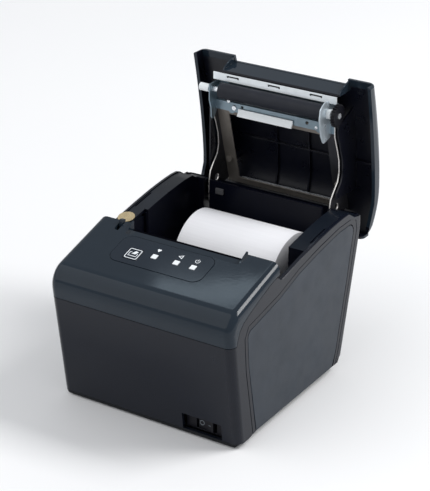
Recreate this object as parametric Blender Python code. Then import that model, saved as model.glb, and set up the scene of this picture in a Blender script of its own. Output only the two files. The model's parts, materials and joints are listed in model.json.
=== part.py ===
"""Receipt printer with its paper cover swung fully open.

Everything is laid out in millimetres from the middle of the front face's
bottom edge (X to the right, Y to the back, Z up). The cover's own parts are
laid out where they lie when the cover is shut; their parent empty stands on
the hinge axis and is turned by OPEN_ANGLE, which swings them open.
"""
import math

import bmesh
import bpy
from mathutils import Matrix, Vector

MM = 0.001

# ---- driving dimensions, in millimetres ----
HALF = 72.5             # half of the printer's width
INNER_HALF = 69.9       # inside faces of the housing's side walls
FRONT_LEAN = 0.145      # the front face leans forward as it rises
BACK_LEAN = 0.243       # the back face leans backward as it rises
BACK_Y = 137.0          # back face at z = 0
WALL = 2.4              # moulded wall
SHEET = 0.9             # sheet steel
FOOT_STANDOUT = 1.5     # the feet lift the case by this much
REST_MID_Y = 88.827     # middle of the open printer's depth

SEAM_Z = 78.6           # front seam between housing and front cover
COVER_TOP = (44.0, 116.0)   # a point on the front cover's sloping top
COVER_SLOPE = 0.3
COVER_REAR = 48.2
COVER_CORNER = (-14.0, 98.4)  # where the front line meets the top line
COVER_RADIUS = 16.0
NOTCH = (-44.2, 46.3, 37.2)   # paper ledge in the front cover: x from, x to, front edge y
LID_NOTCH = (-42.0, 50.6, 54.3)  # paper notch in the lid: x from, x to, y of its floor

RIM_PEAK = (137.0, 118.6)     # highest point of the side rims
RIM_FALL = 0.0172
LID_PEAK = (132.5, 130.6)     # highest point of the shut cover
LID_FRONT = 49.6
LID_REAR = 164.6
LID_LIP_Z = 105.9

HINGE = (156.25, 96.75)       # cover hinge axis (y, z)
OPEN_ANGLE = 90.0
PLATEN = (70.7, 95.4)         # platen axis with the cover shut (y, z)
PLATEN_RADIUS = 5.9
PLATEN_HALF = 42.0
ROLL = (113.5, 73.0)          # paper roll axis (y, z)
ROLL_RADIUS = 32.5
ROLL_X = (-35.1, 44.4)
ARM_X = 50.4                  # middle of the hinge arms

WELL_HALF = 57.5              # inside of the paper well
WELL_REAR = 147.6             # inside of its rear wall
POD_FRONT = 84.0              # front end of the right pod

MODULE = 0.7                  # gear module
PLATEN_TEETH = 22
IDLER_TEETH = 28
PINION_TEETH = 10
IDLER = (66.6, 77.1)
GEAR_X = (51.6, 54.6)
PINION_ANGLE = -100.0           # from the idler down to the motor pinion, degrees
LID_BOSSES = ((-36.0, 86.0), (36.0, 86.0), (-46.0, 130.0), (46.0, 130.0))
FRAME_FRONT = (81.0, 101.3)     # front edge of the lid's sheet frame (y, z)
FRAME_RISE = 0.277              # its rise towards the hinge

SWITCH_X = (28.0, 59.0)       # recess of the power switch
SWITCH_Z = (2.9, 15.2)
ROCKER_X = 44.4
ROCKER_Z = 9.2
ROCKER_FACE_Y = 3.6

BUTTON_X = -26.0
BUTTON_V = -3.2            # middle of the feed button below the lamps, down the slope
FOOT_X = (-56.0, 56.0)
FOOT_Y = (16.0, 118.0)
CORNER = 5.8                  # rounding of the case's upright corners
LEVER = (46.2, 92.0)          # pivot of the cover's release lever (y, z)
LEVER_X = (-54.2, -51.6)
LAMP_X = (-11.0, 6.4, 19.7)
SEAL = (-65.8, 69.2, 6.2)        # tamper seal on the left rim: x, y, radius
LAMP_Y = 24.2


# ---------------------------------------------------------------- outlines
def rim_z(y):
    """Height of the housing's side rims."""
    return RIM_PEAK[1] - RIM_FALL * abs(RIM_PEAK[0] - y) ** 1.5


def lid_z(y):
    """Height of the shut cover's outside, along its middle."""
    if y < LID_PEAK[0]:
        return LID_PEAK[1] - 0.01245 * (LID_PEAK[0] - y) ** 1.61
    return LID_PEAK[1] - 0.0116 * (y - LID_PEAK[0]) ** 2


def cover_z(y):
    """Height of the front cover's sloping top."""
    return COVER_TOP[1] + COVER_SLOPE * (y - COVER_TOP[0])


def frame_z(y):
    """Height of the underside of the lid's sheet frame."""
    return FRAME_FRONT[1] + FRAME_RISE * (y - FRAME_FRONT[0])


def front_y(z):
    return -FRONT_LEAN * z


def back_y(z):
    return BACK_Y + BACK_LEAN * z


def rounded(corners, steps=5):
    """Closed outline from (a, b, radius) corners, each corner an arc."""
    outline = []
    count = len(corners)
    for i in range(count):
        corner = Vector(corners[i][:2])
        radius = corners[i][2] if len(corners[i]) > 2 else 0.0
        if radius == 0.0:
            outline.append(tuple(corner))
            continue
        before = (Vector(corners[i - 1][:2]) - corner).normalized()
        after = (Vector(corners[(i + 1) % count][:2]) - corner).normalized()
        half_angle = before.angle(after) / 2.0
        reach = radius / math.tan(half_angle)
        centre = corner + (before + after).normalized() * radius / math.sin(half_angle)
        start = corner + before * reach - centre
        end = corner + after * reach - centre
        turn = start.angle_signed(end)
        for k in range(steps + 1):
            arm = start.copy()
            arm.rotate(Matrix.Rotation(-turn * k / steps, 2))
            outline.append(tuple(centre + arm))
    return outline


def curve(height, start, end, count):
    """Points (y, height(y)) from start to end."""
    return [(start + (end - start) * k / count, height(start + (end - start) * k / count))
            for k in range(count + 1)]


def ribbon(path, thickness):
    """Outline of a sheet bent along an open path of (y, z) points."""
    points = [Vector(p) for p in path]
    sides = []
    for i, point in enumerate(points):
        ahead = points[min(i + 1, len(points) - 1)] - point
        behind = point - points[max(i - 1, 0)]
        normals = [Vector((-d.y, d.x)).normalized() for d in (behind, ahead) if d.length > 0]
        mean = sum(normals, Vector((0.0, 0.0))).normalized()
        sides.append(mean * (thickness / 2.0) / mean.dot(normals[0]))
    left = [tuple(p + s) for p, s in zip(points, sides)]
    right = [tuple(p - s) for p, s in zip(points, sides)]
    return left + right[::-1]


def circle(centre, radius, count, start=0.0, end=360.0):
    """Points on an arc from start to end degrees; a full circle leaves out its last point."""
    full = abs(end - start) >= 360.0
    steps = count if full else count - 1
    angles = [math.radians(start + (end - start) * k / steps) for k in range(count)]
    return [(centre[0] + radius * math.cos(a), centre[1] + radius * math.sin(a)) for a in angles]


def gear_outline(centre, teeth, phase):
    """Trapezoid teeth; phase is the angle of the first tooth's middle, in degrees."""
    pitch = MODULE * teeth / 2.0
    tip = pitch + 0.8 * MODULE
    root = pitch - 1.05 * MODULE
    step = 360.0 / teeth
    outline = []
    for k in range(teeth):
        middle = phase + step * k
        for radius, share in ((root, -0.26), (tip, -0.10), (tip, 0.10), (root, 0.26)):
            angle = math.radians(middle + step * share)
            outline.append((centre[0] + radius * math.cos(angle),
                            centre[1] + radius * math.sin(angle)))
    return outline


# ---------------------------------------------------------------- solids
def solid_from(vertices, faces):
    """A free object from vertices in millimetres."""
    mesh = bpy.data.meshes.new("solid")
    mesh.from_pydata([tuple(c * MM for c in v) for v in vertices], [], faces)
    tidy = bmesh.new()
    tidy.from_mesh(mesh)
    bmesh.ops.recalc_face_normals(tidy, faces=tidy.faces)
    if tidy.calc_volume(signed=True) < 0:
        bmesh.ops.reverse_faces(tidy, faces=tidy.faces)
    tidy.to_mesh(mesh)
    tidy.free()
    solid = bpy.data.objects.new("solid", mesh)
    bpy.context.scene.collection.objects.link(solid)
    return solid


def prism(outline, low, high, axis="x"):
    """An outline extruded along an axis: (y, z) for x, (x, z) for y, (x, y) for z."""
    def place(point, level):
        a, b = point
        return {"x": (level, a, b), "y": (a, level, b), "z": (a, b, level)}[axis]
    count = len(outline)
    vertices = [place(p, low) for p in outline] + [place(p, high) for p in outline]
    faces = [tuple(range(count)), tuple(range(count, 2 * count))]
    faces += [(i, (i + 1) % count, count + (i + 1) % count, count + i) for i in range(count)]
    return solid_from(vertices, faces)


def box(low, high):
    outline = [(low[0], low[1]), (high[0], low[1]), (high[0], high[1]), (low[0], high[1])]
    return prism(outline, low[2], high[2], "z")


def rod(centre, radius, low, high, axis="x", count=24):
    return prism(circle(centre, radius, count), low, high, axis)


def inset(outline, distances):
    """Move each edge of a closed outline inward by its own distance."""
    count = len(outline)
    area = sum(outline[i][0] * outline[(i + 1) % count][1]
               - outline[(i + 1) % count][0] * outline[i][1] for i in range(count))
    side = 1.0 if area > 0 else -1.0
    lines = []
    for i in range(count):
        a = Vector(outline[i])
        along = (Vector(outline[(i + 1) % count]) - a).normalized()
        inward = Vector((-along.y, along.x)) * side
        lines.append((a + inward * distances[i], along, inward))
    moved = []
    for i in range(count):
        p0, d0, n0 = lines[i - 1]
        p1, d1, _ = lines[i]
        cross = d0.x * d1.y - d0.y * d1.x
        if abs(cross) < 0.02:
            mean = (distances[i - 1] + distances[i]) / 2.0
            moved.append(tuple(Vector(outline[i]) + n0 * mean))
        else:
            t = ((p1 - p0).x * d1.y - (p1 - p0).y * d1.x) / cross
            moved.append(tuple(p0 + d0 * t))
    return moved


def edged(points, radius):
    """Outline points as (y, z, radius): the rounding of the edge that starts at each."""
    return [(y, z, radius) for y, z in points]


def crowned_prism(edges, half, depth, steps=4):
    """A prism along X whose two end edges are rounded, each edge by its own radius."""
    outline = [(y, z) for y, z, _ in edges]
    radii = [radius for _, _, radius in edges]
    count = len(outline)
    rings = []
    for k in range(steps + 1):
        angle = math.radians(90.0 * k / steps)
        ring = inset(outline, [r * (1.0 - math.cos(angle)) for r in radii])
        rings.append((half - depth + depth * math.sin(angle), ring))
    stack = [(-x, ring) for x, ring in reversed(rings)] + rings
    vertices = [(x, y, z) for x, ring in stack for y, z in ring]
    faces = [tuple(range(count)), tuple(range((len(stack) - 1) * count, len(stack) * count))]
    for level in range(len(stack) - 1):
        first = level * count
        for i in range(count):
            j = (i + 1) % count
            faces.append((first + i, first + j, first + count + j, first + count + i))
    return solid_from(vertices, faces)


def merge(target, tool, operation):
    """Combine two free solids with a Boolean and drop the tool."""
    step = target.modifiers.new(operation, "BOOLEAN")
    step.operation = operation
    step.solver = "EXACT"
    step.object = tool
    graph = bpy.context.evaluated_depsgraph_get()
    mesh = bpy.data.meshes.new_from_object(target.evaluated_get(graph))
    target.modifiers.clear()
    target.data = mesh
    bpy.data.objects.remove(tool, do_unlink=True)
    return target


def cut(target, *tools):
    for tool in tools:
        merge(target, tool, "DIFFERENCE")
    return target


def join(target, *tools):
    for tool in tools:
        merge(target, tool, "UNION")
    return target


def tilted(solid):
    """Turn a solid laid out on a level panel onto the front cover's sloping top."""
    slope = math.atan(COVER_SLOPE)
    pivot = Vector((0.0, LAMP_Y, cover_z(LAMP_Y))) * MM
    turn = Matrix.Translation(pivot) @ Matrix.Rotation(slope, 4, "X")
    solid.data.transform(turn)
    return solid


# ---------------------------------------------------------------- assembly
MATERIALS = {
    "cover_gloss": ((0.045, 0.058, 0.075), 0.22, 0.0),
    "case_gloss": ((0.032, 0.038, 0.048), 0.28, 0.0),
    "panel_satin": ((0.060, 0.072, 0.090), 0.40, 0.0),
    "inner_plastic": ((0.014, 0.017, 0.024), 0.55, 0.0),
    "base_plastic": ((0.020, 0.022, 0.026), 0.60, 0.0),
    "rubber": ((0.020, 0.020, 0.022), 0.85, 0.0),
    "platen_rubber": ((0.030, 0.034, 0.040), 0.60, 0.0),
    "zinc_steel": ((0.55, 0.60, 0.65), 0.30, 1.0),
    "bright_steel": ((0.80, 0.83, 0.86), 0.18, 1.0),
    "aluminium": ((0.70, 0.71, 0.72), 0.35, 1.0),
    "white_plastic": ((0.82, 0.83, 0.84), 0.40, 0.0),
    "black_plastic": ((0.012, 0.012, 0.014), 0.45, 0.0),
    "paper": ((0.86, 0.86, 0.88), 0.80, 0.0),
    "card": ((0.45, 0.36, 0.25), 0.90, 0.0),
    "film": ((0.028, 0.036, 0.048), 0.25, 0.0),
    "lamp": ((0.88, 0.90, 0.92), 0.35, 0.0),
    "seal": ((0.70, 0.58, 0.36), 0.70, 0.0),
    "board_green": ((0.02, 0.16, 0.07), 0.50, 0.0),
    "ceramic": ((0.75, 0.73, 0.68), 0.40, 0.0),
}


def material(name):
    found = bpy.data.materials.get(name)
    if found:
        return found
    colour, roughness, metallic = MATERIALS[name]
    made = bpy.data.materials.new(name)
    made.use_nodes = True
    shader = made.node_tree.nodes["Principled BSDF"]
    shader.inputs["Base Color"].default_value = (*colour, 1.0)
    shader.inputs["Roughness"].default_value = roughness
    shader.inputs["Metallic"].default_value = metallic
    made.diffuse_color = (*colour, 1.0)
    return made


def add_empty(name, at, parent=None, turn=0.0):
    """An empty standing on a body's origin or joint axis, in its parent's millimetres."""
    empty = bpy.data.objects.new(name, None)
    empty.location = Vector(at) * MM
    empty.rotation_euler.x = math.radians(turn)
    empty.empty_display_size = 0.01
    empty.parent = parent
    bpy.context.scene.collection.objects.link(empty)
    return empty


def part(name, solid, body, finish, smooth=30.0):
    """Name a solid, hand it to its body and give it a material."""
    empty, pivot = body
    solid.name = name
    solid.data.name = name
    solid.data.transform(Matrix.Translation(-Vector(pivot) * MM))
    solid.data.materials.clear()
    solid.data.materials.append(material(finish))
    solid.data.shade_smooth()
    solid.data.set_sharp_from_angle(angle=math.radians(smooth))
    solid.parent = empty
    return solid


# ---------------------------------------------------------------- casing
def base_line(y):
    """Seam between the base tray and the housing, seen from the side."""
    return 2.3 + 0.16 * min(max(y - 10.0, 0.0), 10.0) + 0.0087 * min(max(y - 20.0, 0.0), 104.0)


def make_base_tray(body):
    half = HALF - 1.0
    seam = [(back_y(10.6) - 0.6, 10.6)] + [(y, base_line(y)) for y in (124.0, 20.0, 10.0)]
    edges = edged([(0.4, 0.0), (126.0, 0.0)], 1.0)
    edges += edged(circle((126.0, 12.0), 12.0, 5, -75.0, -15.0), 0.8)
    edges += edged(seam, 0.0) + edged([(0.6, 2.3)], 1.2)
    tray = crowned_prism(edges, half, 5.0, 3)
    wall = half - 6.0
    cut(tray, prism([(2.4, 1.8), (126.0, 1.8), (132.5, 6.0), (136.6, 14.0), (2.0, 14.0)], -wall, wall))
    for side in (-1, 1):
        bevel = []
        for y in (-20.0, 150.0):
            top = 3.4 + 0.0087 * (y - 20.0)
            bevel += [(side * (half + 9.0), y, top), (side * (half + 9.0), y, -9.0),
                      (side * (half - 9.0 - top), y, -9.0), (side * half, y, top)]
        ring = [(0, 1, 2, 3), (4, 5, 6, 7)]
        ring += [(i, (i + 1) % 4, (i + 1) % 4 + 4, i + 4) for i in range(4)]
        cut(tray, solid_from(bevel, ring))
    for x in FOOT_X:
        for y in FOOT_Y:
            cut(tray, rod((x, y), 6.4, -1.0, 0.9, "z"))
    part("base_tray", tray, body, "base_plastic")


def side_panel_outline(gap):
    corners = [(20.6 + gap, base_line(20.0) + 0.5), (10.2 + gap, 56.0), (7.8 + gap, 83.2 - gap, 5.0),
               (48.3, 91.6 - gap), (74.0, 99.8 - gap), (101.0, 105.3 - gap), (128.0, 109.2 - gap),
               (150.3 - gap, 109.6 - gap, 6.5), (141.6 - gap, 66.8), (129.0 - gap, 16.0),
               (124.5 - gap, base_line(124.0) + 0.5)]
    return rounded(corners, 4)


def cover_seam(drop):
    """Seam under the front cover's side walls, from its front edge to its back, moved down."""
    path = [(-5.2, 79.0), (-4.0, 82.5), (-1.5, 88.5), (2.5, 92.3), (9.0, 95.6), (22.7, 101.4),
            (36.3, 106.6), (42.5, 108.2)]
    return [(y + drop * 0.7, z - drop) for y, z in path]


def housing_edges():
    """Side view of the housing, with the rounding of each edge."""
    foot = [(y, base_line(y) + 0.4) for y in (124.0, 20.0, 10.0)]
    return (edged([(front_y(2.7), 2.7)], CORNER)
            + edged([(front_y(SEAM_Z), SEAM_Z)] + cover_seam(0.4) + [(46.0, 107.0), (48.6, 105.0)], 0.0)
            + edged(curve(rim_z, 50.0, 141.0, 14), 0.8)
            + edged([(144.0, 117.2), (149.5, 113.6), (158.6, 111.7)], 1.0)
            + edged([(161.0, 109.6), (161.5, 104.0), (back_y(100.0), 100.0)], 4.0)
            + edged([(back_y(11.0), 11.0)] + foot, 0.0))


def make_housing(body):
    shell = crowned_prism(housing_edges(), HALF, CORNER, 5)
    hollow = prism([(front_y(-5.0) + WALL, -5.0), (front_y(130.0) + WALL, 130.0),
                    (158.9, 130.0), (back_y(100.0) - WALL, 100.0), (back_y(-5.0) - WALL, -5.0)],
                   -INNER_HALF, INNER_HALF)
    cut(shell, hollow)
    pocket = [(y, z - 3.0) if z < base_line(y) + 0.6 else (y, z) for y, z in side_panel_outline(0.0)]
    for side in (-1, 1):
        low, high = sorted((side * (HALF - 1.5), side * (HALF + 2.0)))
        cut(shell, prism(pocket, low, high))
        low, high = sorted((side * 46.2, side * 56.2))
        cut(shell, box((low, 150.0, 86.5), (high, 170.0, 125.0)))
    cut(shell, box((SWITCH_X[0], -8.0, SWITCH_Z[0]), (SWITCH_X[1], 8.0, SWITCH_Z[1])))
    cut(shell, box((-54.0, 125.0, 13.0), (54.0, 150.0, 31.0)))
    part("main_housing", shell, body, "case_gloss")


def make_side_panels(body):
    outline = side_panel_outline(0.5)
    for side, name in ((-1, "left_side_panel"), (1, "right_side_panel")):
        low, high = sorted((side * (HALF - 1.2), side * HALF))
        part(name, prism(outline, low, high), body, "panel_satin")


def cover_skin(offset, steps):
    """Side view of the front cover's outside, moved inward: up the front and along the slope."""
    corner_y, corner_z = COVER_CORNER
    y = corner_y + offset * (1.0 + FRONT_LEAN * COVER_SLOPE)
    z = corner_z - offset * (1.04 - COVER_SLOPE)
    low = SEAM_Z + 0.4 - (10.0 if offset else 0.0)
    rear = COVER_REAR + (10.0 if offset else 0.0)
    return rounded([(front_y(low) + offset, low), (y, z, COVER_RADIUS - offset),
                    (rear, z + COVER_SLOPE * (rear - y))], steps)


def panel(x0, y0, x1, y1, low, high, radius=0.0):
    """A plate on the front cover's slope, with rounded corners."""
    corners = [(x0, y0, radius), (x1, y0, radius), (x1, y1, radius), (x0, y1, radius)]
    return tilted(prism(rounded(corners, 4), low, high, "z"))


def control_openings():
    """The holes for the feed button and the lamps, through the cover and its film."""
    holes = [panel(BUTTON_X - 5.8, BUTTON_V - 5.7, BUTTON_X + 5.8, BUTTON_V + 5.7, -6.0, 4.0, 1.0)]
    return holes + [panel(x - 2.5, -2.5, x + 2.5, 2.5, -6.0, 4.0) for x in LAMP_X]


def make_paper_ledge(shell):
    """Sink a stepped ledge for the paper into the cover, with a low rib at each end."""
    x0, x1, y0 = NOTCH

    def under(y, drop):
        return y, cover_z(y) - drop

    web = [under(y0 - 2.6, 1.5), under(COVER_REAR, 1.5), under(COVER_REAR, 6.6), under(y0 - 0.7, 5.0)]
    join(shell, prism(web, x0 - 2.0, x1 + 2.0))
    ledge = [under(y0, -8.0), under(y0, 0.0), under(y0 + 1.2, 2.4), under(44.4, 2.6),
             under(45.0, 4.4), under(60.0, 4.4), under(60.0, -8.0)]
    cut(shell, prism(ledge, x0, x1))
    rib = [under(y0 + 0.4, 0.4), under(COVER_REAR, 0.4), under(COVER_REAR, -1.8),
           under(COVER_REAR - 1.0, -1.9)]
    join(shell, prism(rib, x0 - 1.2, x0), prism(rib, x1, x1 + 1.2))


def make_front_cover(body):
    skin = cover_skin(0.0, 9)
    edges = edged(skin[:-1], CORNER) + edged(skin[-1:], 0.8)
    edges += edged([(COVER_REAR, 108.8)] + cover_seam(0.0)[::-1], 0.0)
    shell = crowned_prism(edges, HALF, CORNER, 5)
    hollow = cover_skin(WALL, 7) + [(COVER_REAR + 10.0, 60.0)]
    cut(shell, prism(hollow, -INNER_HALF, INNER_HALF))
    make_paper_ledge(shell)
    cut(shell, panel(-42.0, -13.5, 32.0, 13.5, -0.9, 4.0, 7.0), *control_openings())
    cut(shell, box((LEVER_X[0] - 0.6, 38.5, 100.0), (LEVER_X[1] + 0.6, 60.0, 130.0)))
    part("front_cover", shell, body, "cover_gloss")


def make_controls(body, button_body):
    film = cut(panel(-41.6, -13.1, 31.6, 13.1, -0.55, 0.0, 6.6), *control_openings())
    part("control_film", film, body, "film")
    for i, x in enumerate(LAMP_X):
        lens = tilted(box((x - 2.1, -2.1, -5.0), (x + 2.1, 2.1, 0.05)))
        part(f"lamp_lens_{i + 1}", lens, body, "lamp")
    board = tilted(box((-42.0, -12.0, -9.2), (34.0, 12.0, -7.6)))
    part("control_board", board, body, "board_green")
    tact = tilted(box((BUTTON_X - 3.0, BUTTON_V - 3.0, -7.3), (BUTTON_X + 3.0, BUTTON_V + 3.0, -6.2)))
    part("feed_switch", tact, body, "black_plastic")
    cap = tilted(box((BUTTON_X - 5.4, BUTTON_V - 5.3, -4.6), (BUTTON_X + 5.4, BUTTON_V + 5.3, 0.25)))
    part("feed_button", cap, button_body, "film")


def make_power_switch(body, rocker_body):
    frame = box((SWITCH_X[0] + 0.4, 3.4, SWITCH_Z[0] + 0.3), (SWITCH_X[1] - 0.4, 18.0, 15.0))
    cut(frame, box((ROCKER_X - 7.9, -2.0, ROCKER_Z - 4.9), (ROCKER_X + 7.9, 16.0, ROCKER_Z + 4.9)))
    part("switch_body", frame, body, "black_plastic")
    x, y, z = ROCKER_X, ROCKER_FACE_Y, ROCKER_Z
    cap = [(x - 6.4, y - 0.2), (x, y - 0.6), (x + 6.4, y - 2.4), (x + 6.2, y + 3.0),
           (x, y + 8.0), (x - 6.2, y + 5.0)]
    part("power_rocker", prism(cap, z - 4.4, z + 4.4, "z"), rocker_body, "black_plastic")


# ---------------------------------------------------------------- paper well
def make_inner_frame(body):
    deck = 0.7
    half = INNER_HALF - 0.4
    top = curve(lambda y: rim_z(y) - deck, 64.0, 141.0, 8) + [(149.0, 112.8), (158.3, 110.9)]
    low = [(y, z - 2.2) for y, z in reversed(top)]
    frame = prism(top + low, -half, half)
    cut(frame, box((-WELL_HALF, 60.0, 60.0), (WELL_HALF, WELL_REAR, 130.0)))
    cut(frame, box((-52.0, 149.9, 60.0), (52.0, 170.0, 130.0)))
    cut(frame, box((WELL_HALF - 1.0, 60.0, 60.0), (80.0, POD_FRONT, 130.0)))
    cut(frame, box((-60.2, 60.0, 60.0), (0.0, POD_FRONT, 130.0)))
    side_top = curve(lambda y: rim_z(y) - deck - 0.6, POD_FRONT, 141.0, 5) + [(149.8, 111.2)]
    wall = side_top + [(149.8, 66.0), (147.0, 60.0), (POD_FRONT, 50.0)]
    for side in (-1, 1):
        low_x, high_x = sorted((side * WELL_HALF, side * (WELL_HALF + 2.0)))
        join(frame, prism(wall, low_x, high_x))
    join(frame, box((-WELL_HALF - 1.0, WELL_REAR, 66.0), (WELL_HALF + 1.0, 149.8, 114.4)))
    join(frame, box((-62.2, 66.0, 60.0), (-60.2, POD_FRONT + 1.0, rim_z(66.0) - 2.0)))
    join(frame, box((-62.2, POD_FRONT - 1.0, 60.0), (-58.0, POD_FRONT + 1.0, 109.0)))
    join(frame, box((WELL_HALF + 0.5, POD_FRONT, 60.0), (half, POD_FRONT + 2.0, 110.0)))
    for x0, x1 in ((-half, -57.0), (57.0, half)):
        join(frame, box((x0, 156.3, 101.0), (x1, 158.0, 109.8)))
    outer = circle(ROLL, ROLL_RADIUS + 2.9, 15, -160.0, 5.0)
    inner = circle(ROLL, ROLL_RADIUS + 0.8, 15, -160.0, 5.0)
    join(frame, prism(outer + inner[::-1], -WELL_HALF - 2.0, WELL_HALF + 2.0))
    for side in (-1, 1):
        low_x, high_x = sorted((side * 47.0, side * 51.9))
        cut(frame, box((low_x, 140.0, 90.0), (high_x, 152.0, 130.0)))
        low_x, high_x = sorted((side * 52.2, side * 55.2))
        ear = box((low_x, 149.0, 87.5), (high_x, 159.6, 100.4))
        cut(ear, rod(HINGE, 1.8, low_x - 1.0, high_x + 1.0))
        join(frame, ear)
    part("inner_frame", frame, body, "inner_plastic")


def make_roll(body):
    paper = cut(rod(ROLL, ROLL_RADIUS, *ROLL_X, "x", 64), rod(ROLL, 7.0, -60.0, 60.0, "x", 32))
    part("paper_roll", paper, body, "paper")
    core = cut(rod(ROLL, 6.7, ROLL_X[0] + 0.2, ROLL_X[1] - 0.2, "x", 32),
               rod(ROLL, 5.7, -60.0, 60.0, "x", 32))
    part("paper_core", core, body, "card")


# ---------------------------------------------------------------- print mechanism
def make_mechanism(body):
    plate = [(48.0, 48.0), (79.4, 48.0), (79.4, 62.0), (76.0, 82.0), (76.0, 96.6), (56.2, 96.6),
             (56.2, 88.0), (48.0, 88.0)]
    frame = box((-57.1, 48.0, 48.0), (48.2, 79.4, 49.2))
    join(frame, box((-57.1, 48.0, 48.0), (48.2, 49.2, 88.0)))
    left = cut(prism(plate, -57.1, -55.9),
               box((-60.0, PLATEN[0] - 3.4, PLATEN[1] - 3.4), (-50.0, PLATEN[0] + 3.4, 110.0)))
    right = cut(prism(plate, 47.0, 48.2),
                box((40.0, PLATEN[0] - 4.0, PLATEN[1] - 4.0), (52.0, PLATEN[0] + 4.0, 110.0)),
                rod(PINION, 2.2, 40.0, 52.0))
    stud = join(rod(IDLER, 1.5, 46.4, 55.6, "x", 16), rod(IDLER, 2.6, 45.8, 47.2, "x", 16))
    join(frame, left, right, stud)
    part("mechanism_frame", frame, body, "zinc_steel")
    part("thermal_head", box((-44.0, 62.0, 76.0), (42.6, 63.8, 97.4)), body, "ceramic")
    sink = box((-44.0, 56.6, 74.0), (42.6, 61.6, 96.0))
    for k in range(4):
        cut(sink, box((-50.0, 55.0, 76.5 + 5.0 * k), (50.0, 58.6, 79.0 + 5.0 * k)))
    part("head_heatsink", sink, body, "aluminium")
    for i, x in enumerate((-30.0, 30.0)):
        part(f"head_spring_{i + 1}", coil(x, 49.6, 56.2, 84.4), body, "bright_steel")
    motor = join(rod(PINION, 10.5, 26.0, 46.6, "x", 32), rod(PINION, 1.5, 46.0, 54.6, "x", 16))
    part("paper_motor", motor, body, "zinc_steel")
    part("paper_sensor", box((-6.0, 74.2, 84.0), (6.0, 78.8, 90.0)), body, "black_plastic")


def coil(x, start, end, z):
    """A compression spring along Y."""
    turns, per_turn, radius, wire, sides = 5, 10, 3.0, 0.45, 6
    rings = []
    total = turns * per_turn
    for k in range(total + 1):
        angle = 2.0 * math.pi * k / per_turn
        centre = Vector((x + radius * math.cos(angle), start + wire
                         + (end - start - 2.0 * wire) * k / total, z + radius * math.sin(angle)))
        out = Vector((math.cos(angle), 0.0, math.sin(angle)))
        ring = [centre + out * wire * math.cos(2.0 * math.pi * s / sides)
                + Vector((0.0, 1.0, 0.0)) * wire * math.sin(2.0 * math.pi * s / sides)
                for s in range(sides)]
        rings.append(ring)
    vertices = [tuple(v) for ring in rings for v in ring]
    faces = [tuple(range(sides)), tuple(range(total * sides, (total + 1) * sides))]
    for k in range(total):
        for s in range(sides):
            a, b = k * sides + s, k * sides + (s + 1) % sides
            faces.append((a, b, b + sides, a + sides))
    return solid_from(vertices, faces)


def mesh_point(centre, distance, angle):
    """Axis of a gear that meshes with one at centre, at an angle in degrees."""
    return (centre[0] + distance * math.cos(math.radians(angle)),
            centre[1] + distance * math.sin(math.radians(angle)))


PINION = mesh_point(IDLER, MODULE * (IDLER_TEETH + PINION_TEETH) / 2.0 + 0.12, PINION_ANGLE)


def make_gears(idler_body, pinion_body):
    idler = prism(gear_outline(IDLER, IDLER_TEETH, PINION_ANGLE), *GEAR_X)
    cut(idler, rod(IDLER, 1.8, 40.0, 60.0, "x", 16))
    part("idler_gear", idler, idler_body, "white_plastic")
    phase = PINION_ANGLE + 180.0 + 180.0 / PINION_TEETH
    pinion = prism(gear_outline(PINION, PINION_TEETH, phase), *GEAR_X)
    cut(pinion, rod(PINION, 1.8, 40.0, 60.0, "x", 16))
    part("motor_pinion", pinion, pinion_body, "white_plastic")


def make_cutter(body, blade_body):
    case = box((-47.0, 6.0, 86.0), (47.0, 43.5, 95.6))
    part("cutter_case", case, body, "zinc_steel")
    motor = rod((-30.0, 76.0), 7.0, 12.0, 38.0, "y", 24)
    part("cutter_motor", motor, body, "zinc_steel")
    blade = box((-43.0, 18.0, 96.1), (43.0, 46.5, 97.0))
    part("cutter_blade", blade, blade_body, "bright_steel")


# ---------------------------------------------------------------- electronics
SOCKETS = (("dc_inlet", -44.0, 13.0, 12.0), ("drawer_socket", -24.0, 12.5, 11.5),
           ("network_socket", 0.0, 16.0, 13.5), ("usb_socket", 24.0, 12.0, 11.0))


def make_electronics(body):
    part("main_board", box((-60.0, 24.0, 12.0), (60.0, 134.0, 13.6)), body, "board_green")
    for name, x, width, height in SOCKETS:
        shell = box((x - width / 2.0, 122.0, 14.0), (x + width / 2.0, 141.4, 14.0 + height))
        bore = box((x - width / 2.0 + 1.2, 128.0, 15.2),
                   (x + width / 2.0 - 1.2, 150.0, 12.8 + height))
        part(name, cut(shell, bore), body, "zinc_steel")
    part("near_end_sensor", box((-64.0, 100.0, 64.0), (-59.9, 112.0, 76.0)), body, "black_plastic")
    part("lid_switch", box((61.0, 68.0, 84.0), (67.0, 80.0, 96.0)), body, "black_plastic")


def make_feet(body):
    k = 0
    for x in FOOT_X:
        for y in FOOT_Y:
            k += 1
            part(f"rubber_foot_{k}", rod((x, y), 6.0, -FOOT_STANDOUT, 0.6, "z"), body, "rubber")


def make_lever(body):
    outline = rounded([(44.4, 90.0), (48.0, 90.0), (47.4, 112.0), (48.9, 118.6, 0.8),
                       (44.6, 119.4, 0.8), (44.4, 112.0)], 3)
    part("release_lever", prism(outline, *LEVER_X), body, "cover_gloss")


def make_seal(body):
    x, y, radius = SEAL
    disc = rod((x, y), radius, 0.0, 0.35, "z", 28)
    slope = math.atan((rim_z(y + 4.0) - rim_z(y - 4.0)) / 8.0)
    disc.data.transform(Matrix.Translation(Vector((0.0, y, rim_z(y) + 0.06)) * MM)
                        @ Matrix.Rotation(slope, 4, "X")
                        @ Matrix.Translation(Vector((0.0, -y, 0.0)) * MM))
    part("tamper_seal", disc, body, "seal")


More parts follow.
